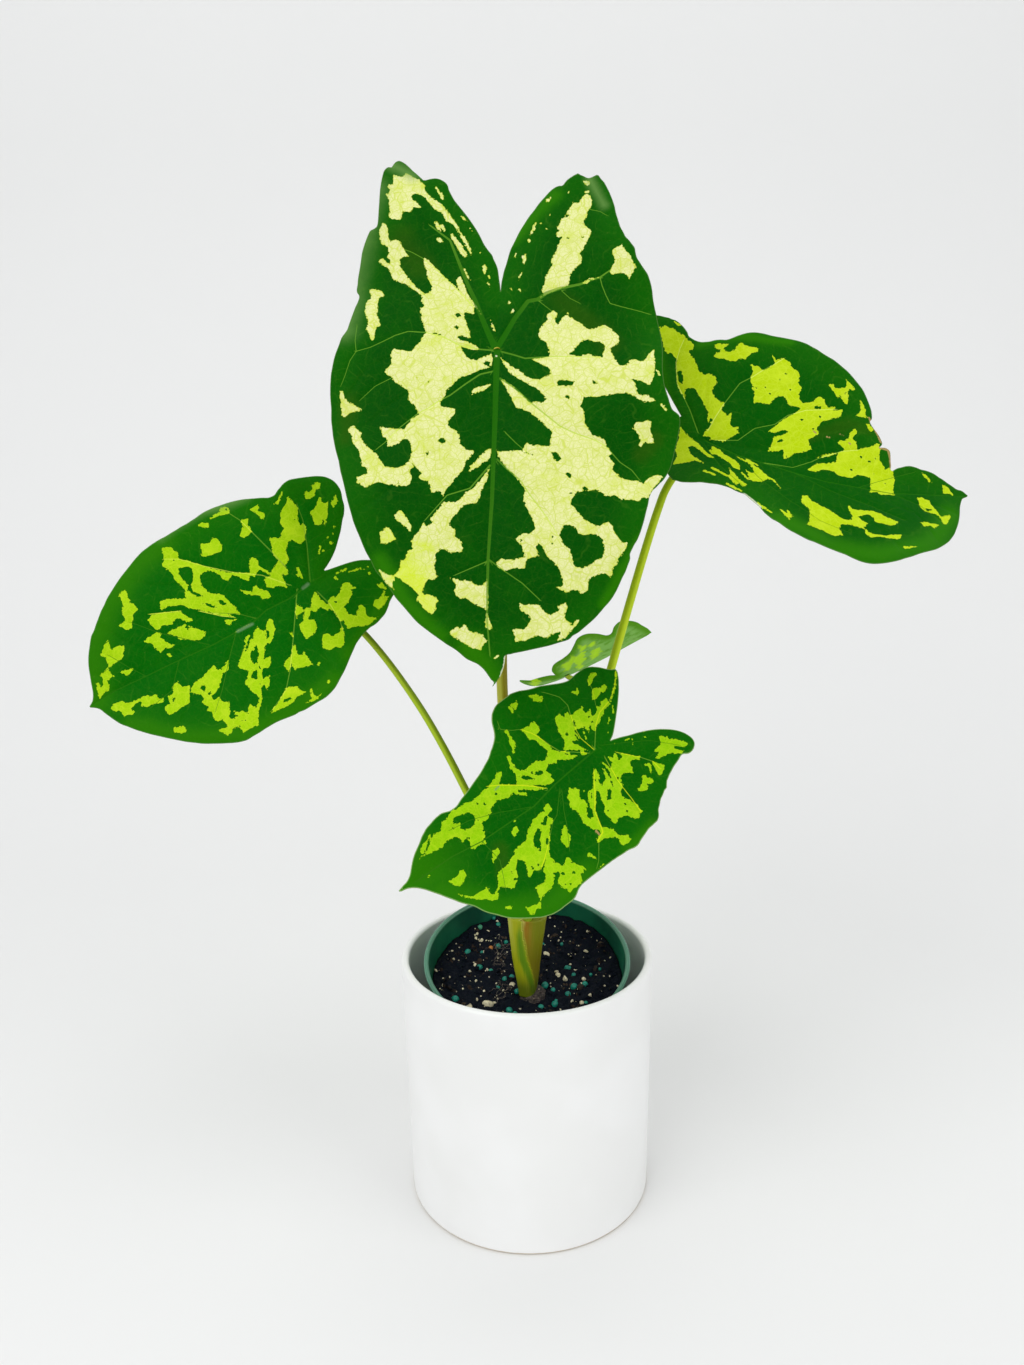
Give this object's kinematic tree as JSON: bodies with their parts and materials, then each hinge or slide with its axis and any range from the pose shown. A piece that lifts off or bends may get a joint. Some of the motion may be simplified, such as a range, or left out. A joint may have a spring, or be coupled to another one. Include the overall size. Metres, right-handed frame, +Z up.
{
  "type": "potted caladium",
  "caption": "Potted foliage plant with large heart-shaped patterned leaves on arching stalks, in a nursery pot of soil inside a plain white cylindrical cachepot",
  "frame": {"origin": "centre of the cachepot's flat foot, on the surface that it stands on", "axes": "+Z up through the pot, the viewer of the picture on the -Y side, +X to that viewer's right"},
  "size_m": [0.4211, 0.1803, 0.5219],
  "materials": {
    "glazed_white": "gloss",
    "dark_green_plastic": "satin",
    "potting_soil": "matte",
    "corm_skin": "matte",
    "sheath_green": "satin",
    "stalk_green": "satin",
    "blade_green": "satin"
  },
  "bodies": {
    "root": {"cachepot": "glazed_white", "nursery_pot": "dark_green_plastic", "potting_soil": "potting_soil", "corm": "corm_skin", "stem_sheath": "sheath_green", "petiole_centre": "stalk_green", "petiole_left": "stalk_green", "petiole_right": "stalk_green", "petiole_front": "stalk_green", "petiole_rear": "stalk_green", "blade_centre": "blade_green", "blade_left": "blade_green", "blade_right": "blade_green", "blade_front": "blade_green", "blade_rear": "blade_green"}
  },
  "joints": []
}
